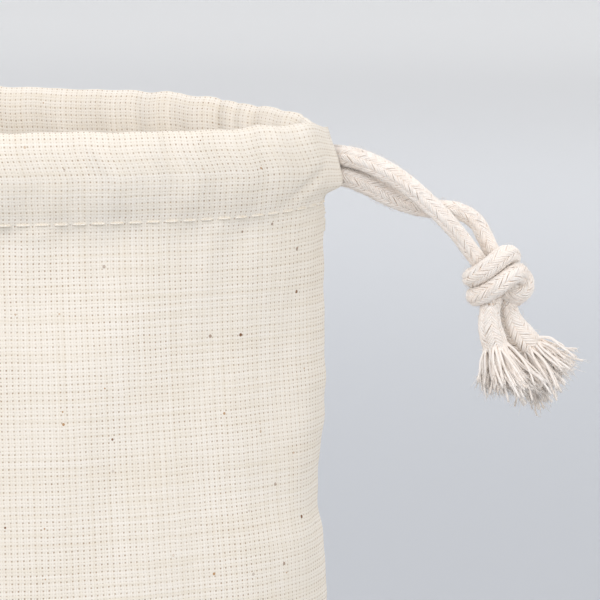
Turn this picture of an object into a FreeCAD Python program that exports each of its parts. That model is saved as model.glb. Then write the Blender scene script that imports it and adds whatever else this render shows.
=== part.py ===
"""Small cotton drawstring bag for a knitting project, standing with its mouth open.

Two panels of plain cloth are sewn together at the sides and under the base, and the lower
corners are boxed so that the bag stands. Each panel's top is folded over into a casing. One
braided cord runs round inside both casings. Its two strands leave through the slit at the
+X side, cross, are tied together in an overhand knot and end in frayed tails.

Millimetres, +Z up. The origin is at the middle of the base, on the surface that the bag
stands on. The front faces -Y, and the side seams lie in the plane Y = 0.
"""

import FreeCAD
import Part
import math
import os

from FreeCAD import Placement, Rotation, Vector

SIZES = {
    # the bag
    "bag_height": 190.0,
    "base_width": 113.0,
    "base_depth": 70.0,
    "belly_width": 145.4,
    "belly_depth": 81.0,
    "base_squareness": 4.5,
    "base_edge_radius": 3.0,
    "cloth_thickness": 0.6,
    "seam_allowance": 8.0,
    "seam_thickness": 1.0,
    "cloth_gap": 0.3,
    "seam_clearance": 0.5,
    # the mouth and its casing
    "mouth_width": 146.0,
    "mouth_depth": 56.0,
    "casing_height": 14.0,
    "casing_thickness": 5.2,
    "channel_height": 11.6,
    "channel_thickness": 3.9,
    "slit_width": 4.4,
    # sewing thread
    "thread_diameter": 0.4,
    "stitch_length": 2.2,
    "stitch_pitch": 2.8,
    # the drawstring
    "cord_diameter": 3.0,
    "knot_height": 10.4,
    "knot_width": 9.6,
    "knot_depth": 8.8,
    "fray_length": 9.0,
    "fray_diameter": 7.4,
}

# heights where the wall's section is set, as shares of the height of the wall
WALL_LEVELS = (0.0, 0.005, 0.017, 0.08, 0.19, 0.33, 0.47, 0.62, 0.77, 0.9, 1.0)
SECTION_POINTS = 24
BELLY_WIDTH_LEVEL = 0.62
BELLY_DEPTH_LEVEL = 0.45
SQUARE_LEVEL = 0.5

# where the strands run, from the slit to the knot: the upper strand passes in front
FRONT_STRAND = (
    (73.0, 0.0, 184.4),
    (78.2, -0.3, 183.6),
    (83.6, -1.2, 180.9),
    (88.6, -1.9, 176.8),
    (92.6, -1.7, 172.6),
    (95.4, -1.2, 168.9),
)
BACK_STRAND = (
    (73.0, 0.0, 181.1),
    (78.2, 0.5, 179.9),
    (83.2, 1.7, 177.4),
    (88.0, 2.6, 176.1),
    (92.4, 2.5, 176.2),
    (96.2, 1.9, 174.2),
    (98.2, 1.4, 171.1),
)
KNOT_CENTRE = Vector(99.2, 0.0, 165.2)
KNOT_LEAN_DEGREES = 25.0
FRONT_END = ((98.2, -1.6, 161.0), (98.0, -1.9, 157.4), (98.7, -1.9, 153.9))
BACK_END = ((101.0, 1.5, 161.0), (103.0, 1.7, 157.4), (105.4, 1.7, 154.6))
FRONT_FRAY_SPLAY, BACK_FRAY_SPLAY = 0.05, 0.0  # how far each fray turns towards +X

doc = FreeCAD.newDocument("drawstring_bag")
sheet = doc.addObject("Spreadsheet::Sheet", "sizes")


def fill_sheet():
    """Writes each driving dimension as a plain number with its name as the alias."""
    for row, (name, value) in enumerate(SIZES.items(), start=1):
        sheet.set(f"A{row}", name)
        sheet.set(f"B{row}", str(value))
        sheet.setAlias(f"B{row}", name)
    doc.recompute()


def size(name):
    """A driving dimension, read back from the sheet."""
    return float(sheet.get(name))


def bind(thing, **formulas):
    """Binds properties of a document object to cells: 'x' stands for Placement.Base.x."""
    for name, formula in formulas.items():
        path = f"Placement.Base.{name}" if name in ("x", "y", "z") else name
        thing.setExpression(path, formula)
    return thing


# ---------------------------------------------------------------- the cloth of the body


def wall_height():
    """Height of the wall, up to the stitched lower edge of the casing."""
    return size("bag_height") - size("casing_height") - size("cloth_gap")


def ease(level, end):
    """Rises from 0 to 1 as level goes from 0 to end, and levels off there."""
    return math.sin(0.5 * math.pi * min(level / end, 1.0))


def wall_half_sizes(level):
    """Half width, half depth and squareness of the wall's outer section at a level."""
    base_w, base_d = size("base_width") / 2, size("base_depth") / 2
    belly_w, belly_d = size("belly_width") / 2, size("belly_depth") / 2
    mouth_d = size("mouth_depth") / 2 + size("cloth_thickness") / 2
    half_width = base_w + (belly_w - base_w) * ease(level, BELLY_WIDTH_LEVEL)
    if level < BELLY_DEPTH_LEVEL:
        half_depth = base_d + (belly_d - base_d) * ease(level, BELLY_DEPTH_LEVEL)
    else:
        up = (level - BELLY_DEPTH_LEVEL) / (1 - BELLY_DEPTH_LEVEL)
        half_depth = mouth_d + (belly_d - mouth_d) * math.cos(0.5 * math.pi * up) ** 2
    boxy = max(0.0, 1 - level / SQUARE_LEVEL) ** 2
    squareness = 2 + (size("base_squareness") - 2) * boxy
    radius = size("base_edge_radius")
    rise = min(level * wall_height(), radius)
    inset = radius - math.sqrt(radius**2 - (radius - rise) ** 2)
    return half_width - inset, half_depth - inset, squareness


def oval(half_width, half_depth, squareness, z):
    """A closed smooth section: an ellipse at squareness 2, nearer a rectangle above it."""
    points = []
    for i in range(SECTION_POINTS):
        angle = 2 * math.pi * i / SECTION_POINTS
        c, s = math.cos(angle), math.sin(angle)
        x = math.copysign(abs(c) ** (2 / squareness), c) * half_width
        y = math.copysign(abs(s) ** (2 / squareness), s) * half_depth
        points.append(Vector(x, y, z))
    curve = Part.BSplineCurve()
    curve.interpolate(Points=points, PeriodicFlag=True)
    return Part.Wire([curve.toShape()])


def bag_form(inset, floor, top):
    """A loft of the wall's sections, all drawn in by inset, from floor up to top."""
    height = wall_height()
    sections = []
    for level in WALL_LEVELS:
        half_width, half_depth, squareness = wall_half_sizes(level)
        z = floor + level * (top - floor)
        if level == 1.0:
            z = max(top, height)
        sections.append(oval(half_width - inset, half_depth - inset, squareness, z))
    return Part.makeLoft(sections, True, False)


def make_panels():
    """Front and back panel: each is half of the hollow wall with its half of the base."""
    cloth = size("cloth_thickness")
    outer = doc.addObject("Part::Feature", "bag_outside")
    outer.Shape = bag_form(0.0, 0.0, wall_height())
    inner = doc.addObject("Part::Feature", "bag_inside")
    inner.Shape = bag_form(cloth, cloth, wall_height() + cloth)
    shell = doc.addObject("Part::Cut", "bag_shell")
    shell.Base, shell.Tool = outer, inner
    panels = []
    for label, side in (("front_panel", -1), ("back_panel", 1)):
        half = doc.addObject("Part::Box", label + "_side")
        bind(
            half,
            Length="2 * sizes.mouth_width",
            Width="sizes.mouth_depth * 2",
            Height="2 * sizes.bag_height",
            x="-sizes.mouth_width",
            y="sizes.cloth_gap / 2" if side > 0 else "-sizes.mouth_depth * 2 - sizes.cloth_gap / 2",
            z="-sizes.bag_height / 2",
        )
        panel = doc.addObject("Part::Common", label)
        panel.Base, panel.Tool = shell, half
        panels.append(panel)
    return panels


# ---------------------------------------------------------------- the seams inside


def inner_wall_x(level):
    """How far out the wall's inner face is in the plane of the side seams."""
    return wall_half_sizes(level)[0] - size("cloth_thickness")


def make_side_seam(label, side):
    """The two seam allowances, pressed together into a fin that stands in from the wall."""
    body = doc.addObject("PartDesign::Body", label)
    sketch = body.newObject("Sketcher::SketchObject", label + "_outline")
    planes = {plane.Role: plane for plane in body.Origin.OriginFeatures}
    sketch.AttachmentSupport = [(planes["XZ_Plane"], "")]
    sketch.MapMode = "FlatFace"
    levels = [level for level in WALL_LEVELS if level >= 0.08]
    clear = size("seam_clearance")
    at_wall = [(inner_wall_x(level) - clear, level * wall_height()) for level in levels]
    inward = [(x - size("seam_allowance"), z) for x, z in reversed(at_wall)]
    corners = [Vector(side * x, z, 0) for x, z in at_wall + inward]
    for start, end in zip(corners, corners[1:] + corners[:1]):
        sketch.addGeometry(Part.LineSegment(start, end), False)
    pad = body.newObject("PartDesign::Pad", label + "_pad")
    pad.Profile = sketch
    pad.SideType = "Symmetric"
    bind(pad, Length="sizes.seam_thickness")
    return body


def make_bottom_seam():
    """The seam allowances under the contents, pressed to one side along the base."""
    seam = doc.addObject("Part::Box", "bottom_seam")
    bind(
        seam,
        Length="sizes.base_width - 2 * sizes.seam_allowance",
        Width="sizes.seam_allowance",
        Height="sizes.seam_thickness",
        x="-sizes.base_width / 2 + sizes.seam_allowance",
        y="sizes.cloth_gap",
        z="sizes.cloth_thickness + sizes.seam_clearance / 2",
    )
    return seam


def make_corner_seam(label, side):
    """The short seam that boxes a lower corner, standing just inside the end of the base."""
    seam = doc.addObject("Part::Box", label)
    near = "sizes.base_width / 2 - sizes.seam_allowance / 2"
    bind(
        seam,
        Length="sizes.seam_thickness",
        Width="sizes.base_depth * 0.6",
        Height="sizes.seam_allowance - sizes.cloth_thickness",
        x=near + " - sizes.seam_thickness" if side > 0 else "-(" + near + ")",
        y="-sizes.base_depth * 0.3",
        z="sizes.cloth_thickness + sizes.seam_clearance",
    )
    return seam


# ---------------------------------------------------------------- the casings and their cord


def mouth_line(label, z_formula, first_angle, last_angle):
    """Half of the oval that the middle of the casing follows round the mouth."""
    line = doc.addObject("Part::Ellipse", label)
    line.Angle1, line.Angle2 = first_angle, last_angle
    bind(line, MajorRadius="sizes.mouth_width / 2", MinorRadius="sizes.mouth_depth / 2")
    return bind(line, z=z_formula)


def upright_section(label, height_formula, thickness_formula, start_x):
    """An upright oval across the start of the mouth line, where that line runs along Y."""
    section = doc.addObject("Part::Ellipse", label)
    upright = Rotation(Vector(1, 0, 0), 90) * Rotation(Vector(0, 0, 1), 90)
    section.Placement = Placement(Vector(), upright)
    bind(section, MajorRadius=height_formula, MinorRadius=thickness_formula)
    middle = "sizes.bag_height - sizes.casing_height / 2"
    return bind(section, x=start_x, z=middle)


def sweep(label, section, line):
    """A solid swept from one closed section along one line."""
    solid = doc.addObject("Part::Sweep", label)
    solid.Sections = [section]
    edges = [f"Edge{i + 1}" for i in range(len(line.Shape.Edges))]
    solid.Spine = (line, edges)
    solid.Solid = True
    solid.Frenet = False
    return solid


def cut(label, base, tool):
    """base with tool taken away."""
    result = doc.addObject("Part::Cut", label)
    result.Base, result.Tool = base, tool
    return result


def make_casing_gaps():
    """The slit at +X, and the hairline gap at the -X seam, which both casings stop at."""
    slit = doc.addObject("Part::Box", "slit_space")
    seam = doc.addObject("Part::Box", "seam_space")
    for space, width, start in (
        (slit, "sizes.slit_width", "0"),
        (seam, "sizes.cloth_gap", "-sizes.mouth_width"),
    ):
        bind(
            space,
            Length="sizes.mouth_width",
            Width=width,
            Height="sizes.bag_height",
            x=start,
            y="-(" + width + ") / 2",
            z="sizes.bag_height / 2",
        )
    gaps = doc.addObject("Part::Fuse", "casing_gaps")
    gaps.Base, gaps.Tool = slit, seam
    return gaps


def make_mouth_side(side, angles, start_x, gaps):
    """One casing, hollow along its whole length, and the run of cord that it holds."""
    middle = "sizes.bag_height - sizes.casing_height / 2"
    line = mouth_line(side + "_mouth_line", middle, *angles)
    doc.recompute()
    outside = upright_section(
        side + "_casing_outside", "sizes.casing_height / 2", "sizes.casing_thickness / 2", start_x
    )
    channel = upright_section(
        side + "_casing_channel", "sizes.channel_height / 2", "sizes.channel_thickness / 2", start_x
    )
    round_cord = upright_section(
        side + "_run_section", "sizes.cord_diameter / 2", "sizes.cord_diameter / 2", start_x
    )
    doc.recompute()
    solid = sweep(side + "_casing_solid", outside, line)
    hollow = sweep(side + "_casing_hollow", channel, line)
    whole_run = sweep(side + "_run_whole", round_cord, line)
    tube = cut(side + "_casing_tube", solid, hollow)
    return [
        cut(side + "_casing", tube, gaps),
        cut(side + "_cord_run", whole_run, gaps),
    ]


# ---------------------------------------------------------------- sewing thread

STITCH_ROW_HEIGHT = 1.2  # of the topstitching, above the casing's lower edge
MOUTH_STEPS = 4000  # short chords by which the mouth's length is walked


def thread(middle, direction, length):
    """One visible stitch: a short straight length of thread."""
    radius = size("thread_diameter") / 2
    start = middle - direction * (length / 2)
    return Part.makeCylinder(radius, length, start, direction)


def stitch_group(label, places):
    """A row of stitches as one group. places gives each stitch's middle and direction."""
    group = doc.addObject("Part::Feature", label)
    length = size("stitch_length")
    group.Shape = Part.makeCompound([thread(middle, along, length) for middle, along in places])
    return group


def straight_row(start, end):
    """Places of the stitches along a straight seam."""
    along = end - start
    count = int(along.Length / size("stitch_pitch"))
    step = along * (1.0 / count)
    direction = Vector(along).normalize()
    return [(start + step * (i + 0.5), direction) for i in range(count)]


def mouth_row(side):
    """Places of the stitches round one half of the mouth, on the casing's lower edge."""
    half_width, half_depth = size("mouth_width") / 2, size("mouth_depth") / 2
    share = 1 - STITCH_ROW_HEIGHT / (size("casing_height") / 2)
    out = size("casing_thickness") / 2 * math.sqrt(1 - share**2) + 0.6 * size("thread_diameter")
    z = size("bag_height") - size("casing_height") + STITCH_ROW_HEIGHT
    places, walked, due = [], 0.0, size("stitch_pitch")
    last = None
    for i in range(MOUTH_STEPS + 1):
        angle = math.pi * i / MOUTH_STEPS
        c, s = math.cos(angle), side * math.sin(angle)
        along = Vector(-half_width * math.sin(angle), side * half_depth * c, 0).normalize()
        outward = Vector(half_depth * c, half_width * s, 0).normalize()
        point = Vector(half_width * c, half_depth * s, z) + outward * out
        if last is not None:
            walked += (point - last).Length
        last = point
        clear_of_slit = abs(point.y) > size("slit_width")
        if walked >= due and clear_of_slit:
            places.append((point, along))
        if walked >= due:
            due += size("stitch_pitch")
    return places


def side_row(side):
    """Places of the stitches up a side seam, on the front face of its fin."""
    levels = [level for level in WALL_LEVELS if level >= 0.08]
    in_from_wall = size("seam_clearance") + 1.4
    y = -(size("seam_thickness") + 1.2 * size("thread_diameter")) / 2
    points = [
        Vector(side * (inner_wall_x(level) - in_from_wall), y, level * wall_height())
        for level in levels
    ]
    return [place for start, end in zip(points, points[1:]) for place in straight_row(start, end)]


def make_stitching():
    """Every row of stitches, and the bar tack that closes the foot of the slit."""
    above = size("cloth_thickness") + size("seam_clearance") / 2 + size("seam_thickness")
    above += 0.6 * size("thread_diameter")
    half_base = size("base_width") / 2 - size("seam_allowance")
    groups = [
        stitch_group("front_casing_stitching", mouth_row(-1)),
        stitch_group("back_casing_stitching", mouth_row(1)),
        stitch_group("left_side_stitching", side_row(-1)),
        stitch_group("right_side_stitching", side_row(1)),
        stitch_group(
            "bottom_stitching",
            straight_row(Vector(-half_base, 1.5, above), Vector(half_base, 1.5, above)),
        ),
    ]
    corner_x = size("base_width") / 2 - size("seam_allowance") / 2 - size("seam_thickness")
    corner_x -= 0.6 * size("thread_diameter")
    half_seam = size("base_depth") * 0.3
    for label, side in (("left_corner_stitching", -1), ("right_corner_stitching", 1)):
        start = Vector(side * corner_x, -half_seam, 3.0)
        groups.append(stitch_group(label, straight_row(start, start + Vector(0, 2 * half_seam, 0))))
    tack = doc.addObject("Part::Feature", "slit_bar_tack")
    tack_x = size("mouth_width") / 2 + size("cloth_thickness")
    tack_top = wall_height() - 0.4
    tack.Shape = Part.makeCompound(
        [
            thread(Vector(tack_x, 0, tack_top - 0.45 * i), Vector(0, 1, 0), size("slit_width"))
            for i in range(6)
        ]
    )
    return groups + [tack]


# ---------------------------------------------------------------- the drawstring outside


def rounded_route(label, points):
    """A line through the points of straight runs joined by tangent arcs, as large as fit."""
    points = [Vector(*point) for point in points]
    edges, start = [], points[0]
    for before, corner, after in zip(points, points[1:], points[2:]):
        into, out_of = corner - before, after - corner
        shorter = min(into.Length, out_of.Length)
        turn = into.getAngle(out_of)
        trim = 0.45 * shorter
        radius = trim / math.tan(turn / 2)
        print(f"{label}: bend of {math.degrees(turn):.0f} degrees, radius {radius:.1f} mm")
        into.normalize()
        out_of.normalize()
        arc_start, arc_end = corner - into * trim, corner + out_of * trim
        to_centre = (out_of - into).normalize()
        centre = corner + to_centre * (radius / math.cos(turn / 2))
        arc_middle = centre - to_centre * radius
        edges.append(Part.LineSegment(start, arc_start).toShape())
        edges.append(Part.Arc(arc_start, arc_middle, arc_end).toShape())
        start = arc_end
    edges.append(Part.LineSegment(start, points[-1]).toShape())
    return Part.Wire(edges)


def make_cord(label, points):
    """A plain round length of cord along a route."""
    route = doc.addObject("Part::Feature", label + "_route")
    route.Shape = rounded_route(label, points)
    section = doc.addObject("Part::Circle", label + "_section")
    bind(section, Radius="sizes.cord_diameter / 2")
    first_run = Vector(*points[1]) - Vector(*points[0])
    section.Placement = Placement(Vector(*points[0]), Rotation(Vector(0, 0, 1), first_run))
    doc.recompute()
    cord = sweep(label, section, route)
    doc.recompute()
    area = math.pi * (size("cord_diameter") / 2) ** 2
    print(
        f"{label}: length {route.Shape.Length:.1f} mm, volume {cord.Shape.Volume:.1f},"
        f" section times length {area * route.Shape.Length:.1f}"
    )
    return cord


def make_knot():
    """The overhand knot's outer form, leaning the way that the strands run into it."""
    knot = doc.addObject("Part::Ellipsoid", "knot")
    knot.Placement = Placement(KNOT_CENTRE, Rotation(Vector(0, 1, 0), -KNOT_LEAN_DEGREES))
    knot.Angle1, knot.Angle2, knot.Angle3 = -90, 90, 360
    return bind(
        knot,
        Radius1="sizes.knot_height / 2",
        Radius2="sizes.knot_width / 2",
        Radius3="sizes.knot_depth / 2",
    )


def make_fray(label, end_points, splay):
    """The loose yarns of a cut end: a cone that opens away from the end of its cord."""
    last, before = Vector(*end_points[-1]), Vector(*end_points[-2])
    direction = (last - before).normalize() + Vector(splay, 0, 0)
    fray = doc.addObject("Part::Cone", label)
    fray.Placement = Placement(last, Rotation(Vector(0, 0, 1), direction))
    return bind(
        fray,
        Radius1="sizes.cord_diameter / 2",
        Radius2="sizes.fray_diameter / 2",
        Height="sizes.fray_length",
    )


def make_drawstring():
    """The strands, knot and frayed tails that hang out of the slit."""
    return [
        make_cord("front_strand", FRONT_STRAND),
        make_cord("back_strand", BACK_STRAND),
        make_knot(),
        make_cord("front_end", FRONT_END),
        make_cord("back_end", BACK_END),
        make_fray("front_fray", FRONT_END, FRONT_FRAY_SPLAY),
        make_fray("back_fray", BACK_END, BACK_FRAY_SPLAY),
    ]


# ---------------------------------------------------------------- the whole bag


def make_bag():
    """Makes every piece and returns them."""
    fill_sheet()
    pieces = make_panels()
    for label, side in (("left_side_seam", -1), ("right_side_seam", 1)):
        pieces.append(make_side_seam(label, side))
    pieces.append(make_bottom_seam())
    for label, side in (("left_corner_seam", -1), ("right_corner_seam", 1)):
        pieces.append(make_corner_seam(label, side))
    gaps = make_casing_gaps()
    pieces += make_mouth_side("front", (180, 360), "-sizes.mouth_width / 2", gaps)
    pieces += make_mouth_side("back", (0, 180), "sizes.mouth_width / 2", gaps)
    pieces += make_stitching()
    pieces += make_drawstring()
    return pieces


def check_and_write(pieces):
    """Stops if anything in the document failed, then writes each piece's STEP file."""
    doc.recompute()
    for thing in doc.Objects:
        if {"Invalid", "Error"} & set(thing.State):
            raise RuntimeError(f"{thing.Label} did not recompute: {thing.State}")
    os.makedirs("parts", exist_ok=True)
    for piece in pieces:
        shape = piece.Shape
        if shape.isNull() or not shape.isValid() or not shape.Solids:
            raise RuntimeError(f"{piece.Label} has no valid solid")
        print(f"{piece.Label}: {len(shape.Solids)} solids, {shape.Volume:.1f} mm3")
        shape.exportStep(os.path.join("parts", piece.Label + ".step"))


check_and_write(make_bag())
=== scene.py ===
"""Looks of the knitting bag: woven cotton cloth, topstitching, braided cord, knot and frays.

Places are in metres in the CAD frame: +Z up, the front faces -Y, the cord leaves at +X.
"""

import math

import bpy
import numpy as np
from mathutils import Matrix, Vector


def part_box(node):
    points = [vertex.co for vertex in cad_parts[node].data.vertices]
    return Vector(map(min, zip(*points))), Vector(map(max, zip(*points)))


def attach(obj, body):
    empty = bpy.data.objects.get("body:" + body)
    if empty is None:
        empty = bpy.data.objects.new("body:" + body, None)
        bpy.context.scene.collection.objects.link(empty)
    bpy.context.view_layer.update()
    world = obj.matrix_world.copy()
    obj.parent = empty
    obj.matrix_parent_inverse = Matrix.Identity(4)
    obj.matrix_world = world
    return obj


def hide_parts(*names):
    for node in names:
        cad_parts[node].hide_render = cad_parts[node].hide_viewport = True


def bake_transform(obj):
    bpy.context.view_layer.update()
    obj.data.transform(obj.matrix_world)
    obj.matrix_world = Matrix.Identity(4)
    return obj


MM = 0.001
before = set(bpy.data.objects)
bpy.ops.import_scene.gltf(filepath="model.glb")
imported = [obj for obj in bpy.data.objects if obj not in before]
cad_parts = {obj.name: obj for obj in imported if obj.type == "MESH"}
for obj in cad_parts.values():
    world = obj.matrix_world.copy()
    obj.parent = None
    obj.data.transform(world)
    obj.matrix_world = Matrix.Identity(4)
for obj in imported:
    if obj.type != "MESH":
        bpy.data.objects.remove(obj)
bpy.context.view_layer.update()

# ---- places, from the frame

CASING_LOW, CASING_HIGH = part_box("front_casing")
PANEL_LOW, PANEL_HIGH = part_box("front_panel")
TOP = CASING_HIGH.z
STITCH_Z = CASING_LOW.z
CASING_HALF_THICK = 2.6 * MM
MOUTH_HALF_WIDTH = CASING_HIGH.x - CASING_HALF_THICK
MOUTH_HALF_DEPTH = -CASING_LOW.y - CASING_HALF_THICK
BELLY_HALF_WIDTH = PANEL_HIGH.x
BELLY_HALF_DEPTH = -PANEL_LOW.y
BASE_HALF_WIDTH = 56.5 * MM
BASE_HALF_DEPTH = 35.0 * MM
CLOTH = 0.45 * MM
FLAT_HALF_WIDTH = 183.0 * MM / 2

# ---- camera

VIEW_WIDTH = 93 * MM
LENS = 200.0
SENSOR = 36.0
ELEVATION = math.radians(8.3)
AIM_INSIDE_BELLY = 4.3 * MM
AIM_BELOW_TOP = 28.3 * MM


def add_object(name, data):
    """A new object in the scene."""
    made = bpy.data.objects.new(name, data)
    bpy.context.scene.collection.objects.link(made)
    return made


def make_camera():
    """Looks along +Y and a little down, at the bag below the mouth's +X corner."""
    target = Vector((BELLY_HALF_WIDTH - AIM_INSIDE_BELLY, 0, TOP - AIM_BELOW_TOP))
    data = bpy.data.cameras.new("camera")
    data.lens = LENS
    data.sensor_width = SENSOR
    camera = add_object("camera", data)
    distance = VIEW_WIDTH * LENS / SENSOR
    back = Vector((0, -math.cos(ELEVATION), math.sin(ELEVATION)))
    camera.location = target + back * distance
    camera.rotation_euler = (-back).to_track_quat("-Z", "Y").to_euler()
    bpy.context.scene.camera = camera


# ---- node helpers


class Nodes:
    """A short way to write a material's node tree."""

    def __init__(self, name):
        self.material = bpy.data.materials.new(name)
        self.material.use_nodes = True
        self.tree = self.material.node_tree
        self.shader = self.tree.nodes["Principled BSDF"]

    def add(self, kind, settings=None, **inputs):
        """Adds a node; inputs are sockets or values, with _ for a space in the name."""
        node = self.tree.nodes.new(kind)
        for key, value in (settings or {}).items():
            setattr(node, key, value)
        for key, value in inputs.items():
            self.put(node.inputs[key.replace("_", " ")], value)
        return node

    def put(self, socket, value):
        """Links a socket to socket, or sets a value on it."""
        if isinstance(value, bpy.types.NodeSocket):
            self.tree.links.new(value, socket)
        else:
            socket.default_value = value

    def math(self, operation, a, b=0.0, clamp=False):
        """A Math node's result."""
        node = self.add("ShaderNodeMath", {"operation": operation, "use_clamp": clamp})
        self.put(node.inputs[0], a)
        self.put(node.inputs[1], b)
        return node.outputs[0]

    def plus(self, a, b):
        """a + b."""
        return self.math("ADD", a, b)

    def minus(self, a, b, clamp=False):
        """a - b, cut to 0..1 if clamp."""
        return self.math("SUBTRACT", a, b, clamp)

    def times(self, a, b, clamp=False):
        """a * b, cut to 0..1 if clamp."""
        return self.math("MULTIPLY", a, b, clamp)

    def ramp(self, value, low, high, out_low=0.0, out_high=1.0):
        """value from low..high smoothly onto out_low..out_high."""
        node = self.add("ShaderNodeMapRange", {"interpolation_type": "SMOOTHSTEP"})
        for socket, entry in zip(node.inputs, (value, low, high, out_low, out_high)):
            self.put(socket, entry)
        return node.outputs[0]

    def mix(self, share, a, b):
        """A colour mixed from a to b."""
        node = self.add("ShaderNodeMix", {"data_type": "RGBA", "blend_type": "MIX"})
        self.put(node.inputs["Factor"], share)
        self.put(node.inputs[6], a)
        self.put(node.inputs[7], b)
        return node.outputs[2]

    def noise(self, place, scale, detail):
        """A noise texture's value at a place."""
        return self.add("ShaderNodeTexNoise", Vector=place, Scale=scale, Detail=detail).outputs[0]

    def random(self, dimensions, **place):
        """A random value for each place."""
        return self.add("ShaderNodeTexWhiteNoise", {"noise_dimensions": dimensions}, **place).outputs[0]

    def split(self, vector):
        """A vector's three numbers."""
        return self.add("ShaderNodeSeparateXYZ", Vector=vector).outputs

    def attribute(self, name):
        """A mesh attribute, as a vector."""
        return self.add("ShaderNodeAttribute", {"attribute_name": name}).outputs["Vector"]

    def object_place(self):
        """The place on the object, in metres."""
        return self.add("ShaderNodeTexCoord").outputs["Object"]

    def finish(self, colour, roughness, specular, bump=None):
        """Puts the colour and finish on the shader; bump is its strength, distance and height."""
        if bump:
            strength, distance, height = bump
            node = self.add("ShaderNodeBump", Strength=strength, Distance=distance, Height=height)
            self.put(self.shader.inputs["Normal"], node.outputs[0])
        self.put(self.shader.inputs["Base Color"], colour)
        self.shader.inputs["Roughness"].default_value = roughness
        self.shader.inputs["Specular IOR Level"].default_value = specular
        return self.material

    def sheen(self, weight, roughness):
        """The soft light of loose fibres at the surface's edges."""
        self.shader.inputs["Sheen Weight"].default_value = weight
        self.shader.inputs["Sheen Roughness"].default_value = roughness


def linear(red, green, blue):
    """A display colour from 0 to 255 as linear RGBA."""
    def channel(value):
        value /= 255
        return value / 12.92 if value <= 0.04045 else ((value + 0.055) / 1.055) ** 2.4
    return (channel(red), channel(green), channel(blue), 1.0)


# ---- materials

WARP_PITCH = 0.47 * MM
WEFT_PITCH = 0.56 * MM
PAIR_SHIFT = 0.11
PICK_SHIFT = 0.07
YARN_HALF = 0.43
CRIMP = 0.3


def cloth_material():
    """Unbleached plain weave, yarn by yarn, with paired ends, slubs and seed specks, and painted shade
    where the weave lies low and in the holes between the yarns.
    """
    n = Nodes("cotton_cloth")
    place = n.attribute("weave")
    axes = n.split(place)
    wobble = n.noise(place, 260.0, 2.0)
    drift = n.times(n.minus(wobble, 0.5), 0.6)
    end, across_end, from_end = weave_yarn(n, axes[0], drift, WARP_PITCH, PAIR_SHIFT)
    pick, across_pick, from_pick = weave_yarn(n, axes[1], drift, WEFT_PITCH, PICK_SHIFT)
    over = n.math("FLOORED_MODULO", n.plus(end, pick), 2.0)
    side = n.minus(n.times(over, 2.0), 1.0)
    round_end, round_pick = yarn_round(n, from_end), yarn_round(n, from_pick)
    crimp_end = n.times(n.math("COSINE", n.times(across_pick, math.pi)), side)
    crimp_pick = n.times(n.math("COSINE", n.times(across_end, math.pi)), side)
    end_high = n.plus(round_end, n.times(crimp_end, CRIMP))
    pick_high = n.minus(round_pick, n.times(crimp_pick, CRIMP))
    height = n.math("MAXIMUM", end_high, pick_high)
    at_cross = n.add("ShaderNodeCombineXYZ", X=end, Y=pick).outputs[0]
    crossing = n.random("2D", Vector=at_cross)
    gap = n.math("MAXIMUM", round_end, round_pick)
    uneven = n.plus(n.times(crossing, 0.55), 0.45)
    thin = n.noise(place, 90.0, 2.0)
    uneven = n.times(uneven, n.ramp(thin, 0.35, 0.65, 0.7, 1.15))
    # painted shade: where the yarns part, the colour is darkened for the shade seen through the gap
    hole_shade = n.times(n.ramp(gap, 0.15, 0.85, 1.0, 0.0), uneven)

    per_yarn = n.plus(n.random("1D", W=end), n.random("1D", W=pick))
    along_pick = slub_noise(n, place, (60.0, 1900.0, 1.0))
    along_end = slub_noise(n, place, (2300.0, 50.0, 1.0))
    streak = n.plus(n.times(along_pick, 0.6), n.times(along_end, 0.4))
    streak = n.plus(streak, n.times(per_yarn, 0.12))
    patch = n.noise(place, 38.0, 3.0)

    light, warm = linear(247, 241, 231), linear(237, 228, 212)
    colour = n.mix(n.ramp(streak, 0.35, 0.95), light, warm)
    colour = n.mix(n.ramp(patch, 0.35, 0.8, 0.0, 0.35), colour, warm)
    # painted shade: the colour turns tan where the weave lies low, between and under the yarns
    low = n.ramp(height, -0.1, 1.0, 0.42, 0.0)
    colour = n.mix(low, colour, linear(202, 182, 150))
    # painted shade: dark brown in the holes between the yarns
    colour = n.mix(n.times(hole_shade, 0.78), colour, linear(156, 124, 92))
    colour = n.mix(speck_mask(n, place, 170.0, 0.13, 0.048), colour, linear(128, 90, 60))
    colour = n.mix(speck_mask(n, place, 290.0, 0.06, 0.07), colour, linear(186, 148, 108))

    n.sheen(0.12, 0.5)
    return n.finish(colour, 0.92, 0.18, bump=(0.55, 0.08 * MM, height))


def weave_yarn(n, place, drift, pitch, shift):
    """A yarn's number, and the distances from its pitch's middle and from its own middle."""
    count = n.plus(n.math("DIVIDE", place, pitch), drift)
    number = n.math("FLOOR", count)
    across = n.minus(n.minus(count, number), 0.5)
    odd = n.math("FLOORED_MODULO", number, 2.0)
    return number, across, n.plus(across, n.times(n.minus(odd, 0.5), 2 * shift))


def yarn_round(n, offset):
    """Height of a round yarn at a distance from its middle, 0 outside it."""
    share = n.math("DIVIDE", offset, YARN_HALF)
    inside = n.minus(1.0, n.times(share, share), clamp=True)
    return n.math("SQRT", inside)


def slub_noise(n, place, scale):
    """Noise drawn out along the yarns."""
    stretched = n.add("ShaderNodeVectorMath", {"operation": "MULTIPLY"})
    n.put(stretched.inputs[0], place)
    stretched.inputs[1].default_value = scale
    return n.noise(stretched.outputs[0], 1.0, 2.0)


def speck_mask(n, place, scale, share, radius):
    """Small specks of seed husk: in a share of the cells, a spot of up to radius cells."""
    cells = n.add("ShaderNodeTexVoronoi", {"voronoi_dimensions": "2D"}, Vector=place, Scale=scale)
    pick = n.add("ShaderNodeSeparateColor", Color=cells.outputs["Color"]).outputs
    chosen = n.math("LESS_THAN", pick[0], share)
    edge = n.times(n.plus(pick[1], 0.4), radius * 0.7)
    spot = n.math("LESS_THAN", cells.outputs["Distance"], edge)
    return n.times(chosen, n.times(spot, n.plus(pick[2], 0.2)), clamp=True)


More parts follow.
